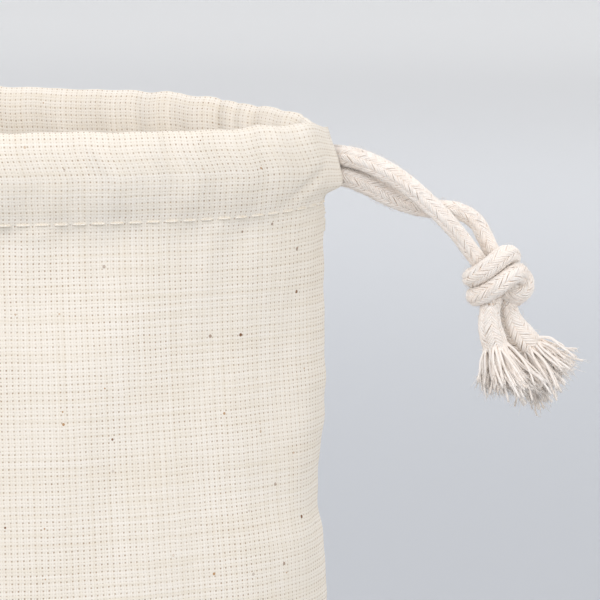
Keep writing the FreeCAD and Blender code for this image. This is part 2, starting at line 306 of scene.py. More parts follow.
def thread_material():
    """Spun sewing thread with its twist."""
    n = Nodes("sewing_thread")
    fibres = n.noise(n.object_place(), 6000.0, 2.0)
    colour = n.mix(n.ramp(fibres, 0.3, 0.7), linear(226, 214, 192), linear(250, 246, 238))
    return n.finish(colour, 0.75, 0.3, bump=(0.5, 0.05 * MM, fibres))


CLOTH_LOOK, THREAD_LOOK = cloth_material(), thread_material()


# ---- mesh helpers


def mesh_piece(name, points, faces, material, attributes=None):
    """A smooth mesh object from arrays of any shape. attributes are vectors at the points."""
    mesh = bpy.data.meshes.new(name)
    mesh.from_pydata(np.reshape(points, (-1, 3)).tolist(), [], np.asarray(faces).tolist())
    for key, values in (attributes or {}).items():
        held = mesh.attributes.new(key, "FLOAT_VECTOR", "POINT").data
        held.foreach_set("vector", np.asarray(values, np.float32).ravel())
    mesh.polygons.foreach_set("use_smooth", [True] * len(mesh.polygons))
    mesh.materials.append(material)
    mesh.update()
    return add_object(name, mesh)


def thicken(piece, offset):
    """Gives a sheet the cloth's thickness."""
    thick = piece.modifiers.new("cloth", "SOLIDIFY")
    thick.thickness, thick.offset = CLOTH, offset
    return piece


def grid_faces(rows, columns, closed=False, start=0):
    """Quads of a grid of rows by columns; closed joins the last column to the first."""
    last = columns if closed else columns - 1
    row = np.arange(rows - 1)[:, None] * columns
    here = np.arange(last)[None, :]
    after = (here + 1) % columns
    quads = np.stack([row + here, row + after, row + columns + after, row + columns + here], -1)
    return quads.reshape(-1, 4) + start


def smooth_step(value, low, high):
    """0 below low, 1 above high, and a smooth rise between."""
    share = np.clip((value - low) / (high - low), 0, 1)
    return share * share * (3 - 2 * share)


def hump(value, middle, width):
    """A bell of height 1."""
    return np.exp(-(((value - middle) / width) ** 2))


def unit(vectors):
    """The vectors at length 1."""
    return vectors / np.maximum(np.linalg.norm(vectors, axis=-1), 1e-12)[..., None]


class Ripples:
    """Smooth seeded noise: a sum of plane waves of about these wavelengths, in millimetres."""

    def __init__(self, seed, wavelength_u, wavelength_v):
        draw = np.random.default_rng(seed)
        waves = 9
        self.k_u = 2 * math.pi / (wavelength_u * MM) * draw.uniform(0.55, 1.35, waves)
        self.k_v = 2 * math.pi / (wavelength_v * MM) * draw.uniform(-1.2, 1.2, waves)
        self.phase = draw.uniform(0, 2 * math.pi, waves)
        self.weight = draw.uniform(0.5, 1.0, waves)
        self.weight /= math.sqrt((self.weight**2).sum() / 2)

    def __call__(self, u, v):
        total = 0.0
        for k_u, k_v, phase, weight in zip(self.k_u, self.k_v, self.phase, self.weight):
            total = total + weight * np.sin(k_u * u + k_v * v + phase)
        return total


# ---- the cloth's shape

WALL_TOP = STITCH_Z
SECTION_ANGLES = np.linspace(0, math.pi, 721)


def wall_section(level):
    """Half width, half depth and squareness of the wall at a share of its height."""
    ease_width = math.sin(0.5 * math.pi * min(level / 0.62, 1))
    half_width = BASE_HALF_WIDTH + (BELLY_HALF_WIDTH - BASE_HALF_WIDTH) * ease_width
    if level < 0.45:
        ease_depth = math.sin(0.5 * math.pi * level / 0.45)
        half_depth = BASE_HALF_DEPTH + (BELLY_HALF_DEPTH - BASE_HALF_DEPTH) * ease_depth
    else:
        fall = math.cos(0.5 * math.pi * (level - 0.45) / 0.55) ** 2
        half_depth = MOUTH_HALF_DEPTH + (BELLY_HALF_DEPTH - MOUTH_HALF_DEPTH) * fall
    squareness = 2 + 2.5 * max(0.0, 1 - level / 0.5) ** 2
    return half_width, half_depth, squareness


def half_oval(half_width, half_depth, squareness, shares):
    """Points and outward normals along half a section, from +X round to -X, at shares of its length.

    The half goes through +Y; a front panel mirrors it.
    """
    c, s = np.cos(SECTION_ANGLES), np.sin(SECTION_ANGLES)
    x = np.sign(c) * np.abs(c) ** (2 / squareness) * half_width
    y = np.abs(s) ** (2 / squareness) * half_depth
    length = np.concatenate([[0], np.cumsum(np.hypot(np.diff(x), np.diff(y)))])
    at = shares * length[-1]
    px, py = np.interp(at, length, x), np.interp(at, length, y)
    step = length[-1] * 0.004
    ahead, behind = np.clip(at + step, 0, length[-1]), np.clip(at - step, 0, length[-1])
    tx = np.interp(ahead, length, x) - np.interp(behind, length, x)
    ty = np.interp(ahead, length, y) - np.interp(behind, length, y)
    size = np.hypot(tx, ty)
    nx, ny = ty / size, -tx / size
    nx = np.where(shares <= 0, 1.0, np.where(shares >= 1, -1.0, nx))
    ny = np.where((shares <= 0) | (shares >= 1), 0.0, ny)
    return px, py, nx, ny


# rows of the cloth, from the bottom seam up the wall, over the casing and down inside it
CASING_PEAK = 8.0 * MM
CASING_HEIGHT = TOP - STITCH_Z
CASING_BULGE = 2.4 * MM
WALL_OUT = 0.3 * MM
HEM_IN = 0.75 * MM
HEM_DROP = 1.8 * MM
HEM_ROWS = 4
SHARED_SEED = 91
EDGE_RADIUS = 3.0 * MM


def casing_profile():
    """Distance out from the mouth line, and height above the stitching, round the casing."""
    low = np.linspace(0, CASING_PEAK, 16)[1:-1]
    rise = np.sin(0.5 * math.pi * low / CASING_PEAK)
    low_out = WALL_OUT + (CASING_BULGE - WALL_OUT) * rise
    turn = np.linspace(0, math.pi, 37)
    top_out = CASING_BULGE * np.cos(turn)
    top_high = CASING_PEAK + (CASING_HEIGHT - CASING_PEAK) * np.sin(turn)
    low_in = -(HEM_IN + (CASING_BULGE - HEM_IN) * rise[::-1])
    hem_high = np.linspace(0, -HEM_DROP, HEM_ROWS)
    out = np.concatenate([low_out, top_out, low_in, np.full(HEM_ROWS, -HEM_IN)])
    high = np.concatenate([low, top_high, low[::-1], hem_high])
    return out, high


def slit_profile(high):
    """The same distance out where the casing ends at the slit: widest low down, pointed above."""
    widest, reach = 4.8 * MM, 2.2 * MM
    above = np.clip((high - widest) / (CASING_HEIGHT - widest), 0, 1)
    return reach * smooth_step(high, 1.1 * MM, 4.0 * MM) * (1 - above**1.2)


class Panel:
    """One panel of the bag as a grid: rows up the cloth, columns from the +X seam to the -X seam."""

    def __init__(self, name, side, seed):
        self.name, self.side = name, side
        fine = np.arange(0, 50, 0.55) * MM
        coarse = np.linspace(50 * MM, 2 * FLAT_HALF_WIDTH - 3 * MM, 98)
        edge = np.array([1.5, 0.75, 0]) * MM
        across = np.concatenate([fine, coarse, 2 * FLAT_HALF_WIDTH - edge])
        self.across = across
        self.shares = across / across[-1]
        self.broad = Ripples(seed, 62, 70)
        self.middle = Ripples(seed + 1, 19, 45)
        self.small = Ripples(seed + 2, 9, 30)
        self.tiny = Ripples(seed + 3, 4.5, 14)
        self.shared = Ripples(SHARED_SEED, 62, 44)
        rows = self.base_rows() + self.wall_rows() + self.casing_rows()
        self.points = np.array([row[0] for row in rows])
        self.normals = np.array([row[1] for row in rows])
        self.kinds = [row[2] for row in rows]
        step = np.linalg.norm(np.diff(self.points[:, len(across) // 2], axis=0), axis=1)
        self.up = np.concatenate([[0], np.cumsum(step)])

    def row(self, outline, z, out, kind):
        """A row's points: the outline moved out along its normal, at height z."""
        x, y, nx, ny = outline
        points = np.stack([x + nx * out, self.side * (y + ny * out), z + 0 * x], -1)
        return points, np.stack([nx, self.side * ny, 0 * nx], -1), kind

    def seam_pinch(self, z):
        """How far the cloth turns in where it is sewn to the other panel."""
        right, left = self.across, self.across[-1] - self.across
        tug = 0.09 * MM * self.small(z * 1.3, z * 0 + 0.02)
        groove = hump(right, 0, 1.3 * MM) + hump(left, 0, 1.3 * MM)
        near = np.exp(-right / (7 * MM)) + np.exp(-left / (7 * MM))
        return -0.85 * MM * groove + tug * near * (1 - groove)

    def base_rows(self):
        """The half of the base, from the bottom seam out to its rounded edge."""
        rows = []
        for share in np.linspace(0.012, 1, 14)[:-1]:
            half_width = BASE_HALF_WIDTH - EDGE_RADIUS
            half_depth = (BASE_HALF_DEPTH - EDGE_RADIUS) * share
            outline = half_oval(half_width, half_depth, 4.5, self.shares)
            rows.append(self.row(outline, CLOTH, 0.0, "base"))
        return rows

    def wall_rows(self):
        """The wall, with its soft undulations."""
        rows = []
        low = EDGE_RADIUS * (1 - np.cos(np.linspace(0, math.pi / 2, 7)))[:-1]
        heights = np.concatenate(
            [low, np.arange(3.0, 108, 2.2) * MM, np.arange(108 * MM, WALL_TOP, 0.95 * MM)]
        )
        for z in heights:
            level = z / WALL_TOP
            half_width, half_depth, squareness = wall_section(level)
            rise = min(z, EDGE_RADIUS)
            inset = EDGE_RADIUS - math.sqrt(EDGE_RADIUS**2 - (EDGE_RADIUS - rise) ** 2)
            sizes = half_width - inset, half_depth - inset, squareness
            outline = half_oval(*sizes, self.shares)
            lift = self.stitch_lift() * smooth_step(z, WALL_TOP - 14 * MM, WALL_TOP)
            under = CLOTH * (1 - smooth_step(z, 0, EDGE_RADIUS))
            rows.append(self.row(outline, z + lift + under, self.wall_out(z), "wall"))
        return rows

    def stitch_lift(self):
        """How far the topstitching rises towards the slit."""
        return 0.9 * MM * hump(self.across, 3 * MM, 14 * MM)

    def wall_out(self, z):
        """How far the wall stands out from its plain section at height z."""
        u = self.across
        below_stitch = WALL_TOP - z
        free = smooth_step(z, 4 * MM, 26 * MM)
        soft = 0.5 * MM * self.broad(u, z) * free * smooth_step(below_stitch, 0, 22 * MM)
        soft += 0.10 * MM * self.middle(u, z) * free
        soft += 0.03 * MM * self.tiny(u, z) * free
        at_seam = hump(u, 0, 9 * MM) + hump(u[-1] - u, 0, 9 * MM)
        soft = soft * (1 - at_seam) + 0.22 * MM * self.shared(0, z) * at_seam * free
        behind = -0.35 * MM * hump(u, 0, 7 * MM) if self.side > 0 else 0
        puckers = 0.26 * MM * self.small(u, z) * np.exp(-below_stitch / (6 * MM))
        dent = -1.3 * MM * hump(z, 134 * MM, 8 * MM) * hump(u, 0, 11 * MM)
        dent -= 0.5 * MM * hump(z - 0.25 * u, 128 * MM, 5 * MM) * hump(u, 16 * MM, 14 * MM)
        to_mouth_line = WALL_OUT * smooth_step(z, WALL_TOP - 3 * MM, WALL_TOP)
        ends = hump(u, 0, 21 * MM) + hump(self.across[-1] - u, 0, 21 * MM)
        corner_seam = -0.7 * MM * hump(z, 1.7 * MM, 0.7 * MM) * ends
        return soft + behind + puckers + dent + corner_seam + self.seam_pinch(z) + to_mouth_line

    def casing_rows(self):
        """The folded-over top, outside face first, and the hem inside."""
        rows = []
        u = self.across
        right, left = u, u[-1] - u
        drop, run = (0.15, 6.0 * MM) if self.side > 0 else (0.08, 5.5 * MM)
        droop = 1 - drop * hump(right, 0, run) - 0.05 * hump(left, 0, 6 * MM)
        droop += 0.012 * self.broad(u, 0.3) + 0.008 * self.small(u, 0.9)
        if self.side > 0:
            droop += 0.18 * smooth_step(np.minimum(right, left), 8 * MM, 42 * MM)
        phase = right / (4.3 * MM) + 0.16 * self.middle(u, 0)
        gathers = np.exp(-((np.sin(math.pi * phase) / 0.5) ** 2)) * (0.75 + 0.25 * self.small(u, 0.4))
        gathers *= smooth_step(right, 2 * MM, 7 * MM)
        gathers = gathers * (1 - smooth_step(right, 24 * MM, 44 * MM))
        gather_share = 0.38 if self.side > 0 else 0.05
        if self.side > 0:
            droop -= 0.022 * gathers
        for out, high in zip(*casing_profile()):
            start = self.slit_edge(high)
            shares = start + (1 - start) * self.shares
            outline = half_oval(MOUTH_HALF_WIDTH, MOUTH_HALF_DEPTH, 2.0, shares)
            body = smooth_step(high, 0, 4 * MM)
            swell = 1 + 0.05 * self.middle(u, high) * body - gather_share * gathers
            fold = (0.17 * self.small(u, high) + 0.06 * self.tiny(u, high)) * MM
            sign = 1 if out >= 0 else -1
            if self.side < 0 and sign > 0:
                slant = high - 2.5 * MM - 0.71 * (14.5 * MM - right)
                fold -= 0.9 * MM * hump(slant, 0, 1.2 * MM) * hump(right, 11.5 * MM, 4 * MM)
            neck_depth, neck_width = (1.5, 5.5) if self.side > 0 else (1.0, 4.5)
            neck = -neck_depth * MM * hump(right, 0, neck_width * MM)
            neck = neck * (1 - smooth_step(high, 1.6 * MM, 3.4 * MM))
            pinch = -0.5 * MM * sign * hump(left, 0, 1.3 * MM) * body
            at_slit = hump(right, 0, 6.5 * MM)
            reach = slit_profile(high) if sign > 0 else max(slit_profile(high), HEM_IN)
            out = out * swell * (1 - at_slit) + sign * reach * at_slit
            out = out - (0.3 * MM * at_slit if self.side > 0 else 0)
            offset = out + fold * (0.35 + 0.65 * body) * (1 - 0.7 * at_slit) + neck + pinch
            lift = self.stitch_lift() * (1 - smooth_step(high, 0, 7 * MM))
            rows.append(self.row(outline, STITCH_Z + high * droop + lift, offset, "casing"))
        return rows

    def slit_edge(self, high):
        """Share of the mouth's length at which the casing stops: its lips part round the cords."""
        parted = smooth_step(high, 1.5 * MM, 4.5 * MM)
        opening, top = (2.6 * MM, 0.9 * MM) if self.side > 0 else (0.3 * MM, 2.2 * MM)
        spread = top * smooth_step(high, 6.5 * MM, 12.5 * MM)
        return (0.12 * MM + opening * parted + spread) / (2 * FLAT_HALF_WIDTH)

    def with_edges(self):
        """The grid with the seam allowances added at both sides, turned in from each edge."""
        inner_steps = (0.35, 0.9, 2.2, 4.2, 6.2, 8.0)
        in_casing = np.array([kind == "casing" for kind in self.kinds])[:, None]
        grids, across = [self.points], [self.across]
        for end, sign in ((0, -1.0), (-1, 1.0)):
            edge, beside = self.points[:, end], self.points[:, 3 if end == 0 else -4]
            back = unit(beside - edge)
            inward = -self.normals[:, end]
            to_middle = unit(edge[in_casing[:, 0]].mean(0) - edge)
            columns = []
            for step in inner_steps:
                fin = edge + inward * (step * MM)
                fin[:, 1] = self.side * (0.28 + 0.05 * math.sin(9 * step)) * MM
                depth, under = min(step, 0.8) + 0.05 * step, max(step - 0.6, 0) * 0.3
                tucked = edge + to_middle * (depth * MM) + back * (under * MM)
                columns.append(np.where(in_casing, tucked, fin))
            columns = columns[::-1] if end == 0 else columns
            place = self.across[end] + sign * np.array(inner_steps) * MM
            grids.insert(0 if end == 0 else len(grids), np.stack(columns, 1))
            across.insert(0 if end == 0 else len(across), place[::-1] if end == 0 else place)
        return np.concatenate(grids, 1), np.concatenate(across)

    def build(self):
        """Makes the panel's mesh."""
        points, across = self.with_edges()
        rows, columns = points.shape[:2]
        faces = grid_faces(rows, columns)
        if self.side < 0:
            faces = faces[:, ::-1]
        weave = np.zeros((rows, columns, 3))
        weave[..., 0] = across[None, :] + (0.5 if self.side > 0 else 0.0)
        weave[..., 1] = self.up[:, None]
        return thicken(mesh_piece(self.name, points, faces, CLOTH_LOOK, {"weave": weave}), -1.0)


# ---- cord

CORD_RADIUS = 1.6 * MM
BRAID_MIDDLE = 1.29 * MM
BRAID_LIFT = 0.16 * MM
BRAID_PITCH = 12.0 * MM
CARRIERS = 8
YARN_SPACE = 0.28 * MM
YARN_HALF_WIDTH = 0.168 * MM
YARN_HALF_THICK = 0.15 * MM
YARN_TWIST = 4200.0


class Path:
    """A smooth line with frames that don't twist, read at any distance along it."""

    def __init__(self, points, step=0.12 * MM):
        points = np.asarray(points, float)
        length = np.concatenate([[0], np.cumsum(np.linalg.norm(np.diff(points, axis=0), axis=1))])
        self.length = length[-1]
        self.at = np.linspace(0, self.length, max(8, int(self.length / step)))
        self.points = self.read(self.at, length, points)
        tangent = unit(np.gradient(self.points, axis=0))
        normal = np.zeros_like(tangent)
        normal[0] = unit(np.cross(tangent[0], (0.3, 1.0, 0.1)))
        for index in range(1, len(tangent)):
            along = tangent[index]
            normal[index] = unit(normal[index - 1] - along * (normal[index - 1] @ along))
        self.tangent, self.normal, self.side = tangent, normal, np.cross(tangent, normal)

    @staticmethod
    def read(at, known_at, values):
        """Each column of values at the given distances."""
        return np.stack([np.interp(at, known_at, values[:, k]) for k in range(values.shape[1])], -1)

    def place(self, local):
        """Points at (distance, normal offset, side offset)."""
        at = local[..., 0].ravel()
        centre = self.read(at, self.at, self.points)
        normal, side = self.read(at, self.at, self.normal), self.read(at, self.at, self.side)
        beyond = np.where(at < 0, at, np.maximum(at - self.length, 0))[:, None]
        centre += beyond * self.read(at, self.at, self.tangent)
        flat = local.reshape(-1, 3)
        placed = centre + normal * flat[:, 1:2] + side * flat[:, 2:3]
        return placed.reshape(local.shape)


def lay(path, local, width):
    """A straight cord's points laid along a path, at width times its own."""
    return path.place(np.concatenate([local[:, :1], local[:, 1:] * width], 1))


def nurbs_points(route):
    """Points read from the NURBS line whose control points are the route's, in metres."""
    data = bpy.data.curves.new("route", "CURVE")
    data.dimensions, data.resolution_u = "3D", 16
    spline = data.splines.new("NURBS")
    spline.points.add(len(route) - 1)
    for point, place in zip(spline.points, route):
        point.co = (*(Vector(place) * MM), 1)
    spline.order_u = 3
    spline.use_endpoint_u = True
    line = add_object("route", data)
    ready = line.evaluated_get(bpy.context.evaluated_depsgraph_get())
    mesh = bpy.data.meshes.new_from_object(ready)
    points = np.array([vertex.co[:] for vertex in mesh.vertices])
    bpy.data.objects.remove(line)
    bpy.data.meshes.remove(mesh)
    return points


class Yarns:
    """Many thin tubes collected into one mesh, with the attributes that colour them, their painted
    shade among them.
    """

    def __init__(self):
        self.points, self.faces, self.twist, self.tone_and_shade = [], [], [], []
        self.count = 0

    def add(self, centres, outward, half_width, half_thick, tone, depth, sides=6, taper=1.0):
        """Tubes (tube, point, xyz) with an outward direction; depth is 0 at the cord's face and sets
        the painted shade.
        """
        centres = np.asarray(centres, float)
        tubes, steps = centres.shape[:2]
        tangent = unit(np.gradient(centres, axis=1))
        out = unit(outward - tangent * (outward * tangent).sum(2)[..., None])
        flat = np.cross(tangent, out)
        turn = 2 * math.pi * np.arange(sides) / sides
        size = np.ones(steps) if taper == 1.0 else 1 - (1 - taper) * np.linspace(0, 1, steps) ** 3
        size = size[None, :, None, None]
        across = flat[:, :, None] * np.cos(turn)[:, None] * half_width * size
        lift = out[:, :, None] * np.sin(turn)[:, None] * half_thick * size
        ring = centres[:, :, None] + across + lift
        length = np.linalg.norm(np.diff(centres, axis=1), axis=2).cumsum(1)
        length = np.concatenate([np.zeros((tubes, 1)), length], 1)
        twist = np.zeros(ring.shape)
        twist[..., 0], twist[..., 1] = np.cos(turn), np.sin(turn)
        twist[..., 2] = length[:, :, None]
        tone_and_shade = np.zeros(ring.shape)
        tone_and_shade[..., 0] = np.asarray(tone)[:, None, None]
        # painted shade: the side of each tube that faces in gets more depth, so more tan
        tone_and_shade[..., 1] = np.broadcast_to(depth, (tubes, steps))[:, :, None] - 0.25 * np.sin(turn)
        quads = grid_faces(steps, sides, closed=True)[:, ::-1]
        per_tube = steps * sides
        caps = []
        if sides == 6:
            for base in (0, per_tube - sides):
                ends = base + np.array([[0, 1, 2, 3], [0, 3, 4, 5]])
                caps.append(ends if base == 0 else ends[:, ::-1])
        quads = np.concatenate([quads, *caps])
        start = self.count + per_tube * np.arange(tubes)
        self.faces.append((quads[None] + start[:, None, None]).reshape(-1, 4))
        self.points.append(ring.reshape(-1, 3))
        self.twist.append(twist.reshape(-1, 3))
        self.tone_and_shade.append(tone_and_shade.reshape(-1, 3))
        self.count += tubes * per_tube

    def piece(self, name, material, where=None):
        """The mesh object; where maps all its points, if given."""
        points = np.concatenate(self.points)
        if where is not None:
            points = where(points)
        attributes = {"twist": np.concatenate(self.twist), "tone_and_shade": np.concatenate(self.tone_and_shade)}
        return mesh_piece(name, points, np.concatenate(self.faces), material, attributes)


def braid(length, seed, hairs, hairs_from=0.0, step=0.42 * MM, plies=(-1, 0, 1), widen=1.0):
    """A 16-strand herringbone braid along +X as (distance, y, z), with fine hairs."""
    draw, yarns = np.random.default_rng(seed), Yarns()
    at = np.arange(0, length, step)
    lean = math.atan2(2 * math.pi * BRAID_MIDDLE, BRAID_PITCH)
    for sign in (1, -1):
        for place in plies:
            carrier = np.arange(CARRIERS)[:, None]
            slide = place * YARN_SPACE
            angle = sign * 2 * math.pi * at / BRAID_PITCH + 2 * math.pi * carrier / CARRIERS
            angle += slide * math.cos(lean) / BRAID_MIDDLE
            angle += draw.normal(0, 0.03, (CARRIERS, 1))
            wave = np.cos(4 * angle)
            lift = np.tanh(1.9 * wave) * sign
            radius = BRAID_MIDDLE + BRAID_LIFT * lift + draw.normal(0, 0.02 * MM, (CARRIERS, 1))
            centres = np.zeros((CARRIERS, len(at), 3))
            centres[..., 0] = at - sign * slide * math.sin(lean)
            centres[..., 1] = radius * np.cos(angle)
            centres[..., 2] = radius * np.sin(angle)
            outward = np.stack([0 * angle, np.cos(angle), np.sin(angle)], -1)
            # painted shade: yarns that dip under others get more depth, so more tan
            depth = 0.5 - 0.5 * lift
            tone = draw.uniform(0, 1, CARRIERS)
            yarns.add(centres, outward, widen * YARN_HALF_WIDTH, YARN_HALF_THICK, tone, depth)
    if hairs:
        fuzz(yarns, length, draw, hairs, hairs_from)
    return yarns


def fuzz(yarns, length, draw, count, start):
    """Adds fine hairs that stand off a cord."""
    reach = 1.1 * MM
    share = np.linspace(0, 1, 5)
    at = draw.uniform(start, length, count)[:, None]
    angle = draw.uniform(0, 2 * math.pi, count)[:, None]
    tall = draw.uniform(0.15, 1.0, count)[:, None] * reach
    along = draw.normal(0, 1.0, count)[:, None] * reach
    bend = draw.normal(0, 0.6, count)[:, None]
    radius = CORD_RADIUS - 0.12 * MM + tall * share * (1 - 0.35 * share)
    turned = angle + bend * share**2
    centres = np.zeros((count, len(share), 3))
    centres[..., 0] = at + along * share * (0.5 + 0.5 * share)
    centres[..., 1], centres[..., 2] = radius * np.cos(turned), radius * np.sin(turned)
    outward = np.zeros_like(centres) + (1.0, 0.2, 0.1)
    thin = 0.016 * MM
    yarns.add(centres, outward, thin, thin, np.full(count, 0.2), 0.0, sides=3, taper=0.4)


def cord_material():
    """Undyed cotton yarns with their twist, and painted warm shade, tan, where they lie deep in the
    braid's crevices.
    """
    n = Nodes("cotton_cord")
    tone_and_shade = n.split(n.attribute("tone_and_shade"))
    turn = n.split(n.attribute("twist"))
    phase = n.times(turn[2], YARN_TWIST)
    ply = n.plus(
        n.times(turn[1], n.math("COSINE", phase)),
        n.times(turn[0], n.math("SINE", phase)),
    )
    place = n.object_place()
    fibres = n.noise(place, 2600.0, 3.0)
    patch = n.noise(place, 330.0, 2.0)
    colour = n.mix(tone_and_shade[0], linear(255, 250, 244), linear(255, 246, 237))
    colour = n.mix(n.ramp(patch, 0.35, 0.75, 0.0, 0.3), colour, linear(250, 236, 222))
    # painted shade: tan where the yarns lie deep, in the crevices of the braid and the fray and on each
    # yarn's inner side
    colour = n.mix(n.ramp(tone_and_shade[1], 0.1, 1.0, 0.0, 0.65), colour, linear(250, 208, 164))
    colour = n.mix(n.ramp(fibres, 0.45, 0.8, 0.0, 0.16), colour, linear(230, 206, 180))
    height = n.plus(n.times(ply, 0.5), fibres)
    n.sheen(0.2, 0.45)
    return n.finish(colour, 0.85, 0.25, bump=(0.6, 0.05 * MM, height))


CORD_LOOK = cord_material()


# routes in millimetres: the strands follow the CAD's within 1.5 mm and start further in
FRONT_ROUTE = [
    (71.2, 0.7, 184.3), (74.2, 0.6, 184.3), (78.2, -0.3, 183.6), (83.6, -1.3, 181.0),
    (88.6, -1.9, 176.8), (92.6, -1.7, 172.6), (95.2, -1.3, 169.0), (97.3, -0.3, 166.4),
]
BACK_ROUTE = [
    (71.2, 1.0, 181.5), (74.2, 1.0, 181.3), (78.2, 1.0, 180.0), (83.4, 1.8, 177.0), (88.4, 2.6, 175.5),
    (92.4, 2.4, 175.7), (95.8, 1.9, 174.0), (97.3, 1.5, 171.0), (98.6, 1.0, 168.2),
]
FRONT_KNOT = [
    (96.6, -0.7, 167.4), (97.6, -0.3, 166.2), (99.5, 0.3, 164.0), (101.4, -0.3, 162.5),
    (103.1, 0.3, 162.9), (103.5, 1.9, 164.7), (101.8, 3.3, 165.6), (98.6, 3.6, 165.6),
    (95.9, 2.2, 165.2), (94.8, -0.6, 165.2), (95.8, -2.9, 165.9), (97.9, -3.7, 167.6),
    (99.8, -3.0, 169.1), (101.0, -0.8, 169.0), (101.2, 1.4, 167.6), (100.2, 1.6, 165.0),
    (98.6, 0.2, 162.8), (97.9, -1.2, 161.2), (97.8, -1.7, 160.2),
]
BACK_KNOT = [
    (98.3, 1.1, 168.8), (98.9, 0.9, 167.6), (99.9, 0.2, 166.0), (101.0, 0.0, 164.0),
    (102.1, 0.8, 162.3), (102.2, 2.6, 161.9), (100.4, 3.6, 162.3), (97.8, 3.3, 162.7),
    (96.0, 1.6, 162.5), (95.5, -0.8, 162.3), (96.7, -2.9, 163.0), (98.9, -3.7, 164.5),
    (101.0, -3.1, 166.2), (102.3, -1.2, 166.3), (102.5, 0.8, 165.0), (101.4, 1.0, 163.0),
    (100.6, 0.6, 161.4), (100.9, 0.7, 160.2),
]
FRONT_TAIL = [(97.8, -1.5, 161.2), (97.7, -1.9, 158.4), (98.1, -1.9, 156.6), (98.8, -1.9, 154.5)]
BACK_TAIL = [(100.5, 0.6, 161.2), (101.0, 0.9, 158.6), (102.4, 1.2, 156.2), (104.3, 1.4, 154.0)]
STRAND_HEIGHT = {"front": 0.1843, "back": 0.1815}
STRAND_HAIRS, TAIL_HAIRS = 420, 60
PULL = 20 * MM
STRETCH_START, STRETCH_END = 71.2 * MM, 75.2 * MM


def make_strand(name, route, seed):
    """A braided strand, with a pull's length of braid pressed together behind the slit."""
    points = nurbs_points(route)
    path = Path(points)
    zone = STRETCH_END - STRETCH_START
    rest = np.linspace(0, path.length, 4001)
    natural = rest + PULL * smooth_step(rest, 0, zone)
    yarns = braid(natural[-1], seed, STRAND_HAIRS, hairs_from=PULL + zone)

    def where(local):
        at = np.interp(local[:, :1], natural, rest)
        narrower = smooth_step(at, 0.2 * path.length, 0.85 * path.length)
        return lay(path, np.concatenate([at, local[:, 1:]], 1), 1.05 - 0.2 * narrower)

    return yarns.piece(name, CORD_LOOK, where), [tuple(point) for point in points]


def make_cord(name, points, seed, hairs, flare=0.0):
    """A braided length of cord along points; flare is how much wider it grows to its end."""
    path = Path(points)
    yarns = braid(path.length, seed, hairs)

    def where(local):
        return lay(path, local, 1 + flare * smooth_step(local[:, :1], 0, 0.8 * path.length))

    return yarns.piece(name, CORD_LOOK, where)


FRAY_YARNS = 230
FRAY_STEPS = 14
FRAY_FIBRES = 12
FRAY_SHORTEST, FRAY_LONGEST = 5.4, 7.7
FRAY_HALF_WIDTH, FRAY_HALF_THICK = 0.22 * MM, 0.18 * MM
FIBRE_HALF = 0.045 * MM
GOLDEN_SHARE = 0.618034


def make_fray(name, tail, lean, flare, uneven, seed):
    """The loose yarns beyond the end of a cord, splayed, each ending in finer fibres."""
    path = Path(nurbs_points(tail))
    draw = np.random.default_rng(seed)
    count, steps = FRAY_YARNS, FRAY_STEPS
    root_at = path.length - 0.9 * MM
    angle = 2 * math.pi * (np.arange(count) * GOLDEN_SHARE % 1)
    radius = 1.32 * (1 + flare) * MM * np.sqrt((np.arange(count) + 0.5) / count)
    local = np.stack([np.full(count, root_at), radius * np.cos(angle), radius * np.sin(angle)], -1)
    roots = path.place(local)
    tangent, normal, side = path.tangent[-1], path.normal[-1], path.side[-1]
    outward = normal * np.cos(angle)[:, None] + side * np.sin(angle)[:, None]
    outward = outward * (radius / radius.max())[:, None]
    share = np.linspace(0, 1, steps)[None, :, None]
    reach = draw.uniform(FRAY_SHORTEST, FRAY_LONGEST, count) * MM * (1 + uneven * outward[:, 0])
    reach = reach[:, None, None]
    lean = np.asarray(lean)
    along = unit(tangent + lean * 0.35 + draw.normal(0, 0.07, (count, 3)))
    spread = outward * draw.uniform(0.2, 0.6, count)[:, None] + draw.normal(0, 0.09, (count, 3))
    curl = draw.normal(0, 0.18, (count, 3))
    centres = roots[:, None] + along[:, None] * share * reach
    centres += spread[:, None] * reach * (0.55 * share + 0.45 * share**2)
    centres += curl[:, None] * reach * np.sin(math.pi * share) * 0.35
    centres = centres + (lean + (0, 0, -0.35))[None, None] * reach * 0.22 * share**2
    waves, phase = draw.uniform(5, 14, count), draw.uniform(0, 6, count)
    wobble = np.sin(share * waves[:, None, None] + phase[:, None, None])
    centres += outward[:, None] * wobble * share * 0.22 * MM
    yarns = Yarns()
    facing = np.broadcast_to(outward[:, None] + 0.01, centres.shape)
    # painted shade: yarns near the root and in the middle of the fan get more depth, so more tan
    depth = np.clip(0.45 - share[..., 0] * 0.8 + 0.3 * (1 - radius / radius.max())[:, None], 0, 1)
    tone = draw.uniform(0, 1, count)
    yarns.add(centres, facing, FRAY_HALF_WIDTH, FRAY_HALF_THICK, tone, depth, taper=0.8)
    index = np.repeat(np.arange(count), FRAY_FIBRES)
    back = np.minimum(draw.exponential(2.5, len(index)), steps - 5).astype(int)
    start = centres[index, steps - 2 - back]
    ahead = unit(centres[index, steps - 1 - back] - start)
    fan = ahead + draw.normal(0, 0.30, ahead.shape)
    fine = np.linspace(0, 1, 5)[None, :, None]
    size = draw.uniform(0.5, 1.6, len(start))[:, None, None] * MM
    hairs = start[:, None] + fan[:, None] * fine * size
    hairs += draw.normal(0, 0.25, fan.shape)[:, None] * fine**2 * size
    facing = np.zeros_like(hairs) + (0.3, 1.0, 0.1)
    tone = np.zeros(len(start))
    yarns.add(hairs, facing, FIBRE_HALF, FIBRE_HALF, tone, -0.2, sides=3, taper=0.3)
    return yarns.piece(name, CORD_LOOK)


# ---- sewing

STITCH_PITCH = 3.05 * MM
STITCH_LENGTH = 2.35 * MM
THREAD_HALF = 0.17 * MM
THREAD_DIP = 0.22 * MM
SEAM_INSET = 2.0 * MM
SEAM_GAP = 0.33 * MM


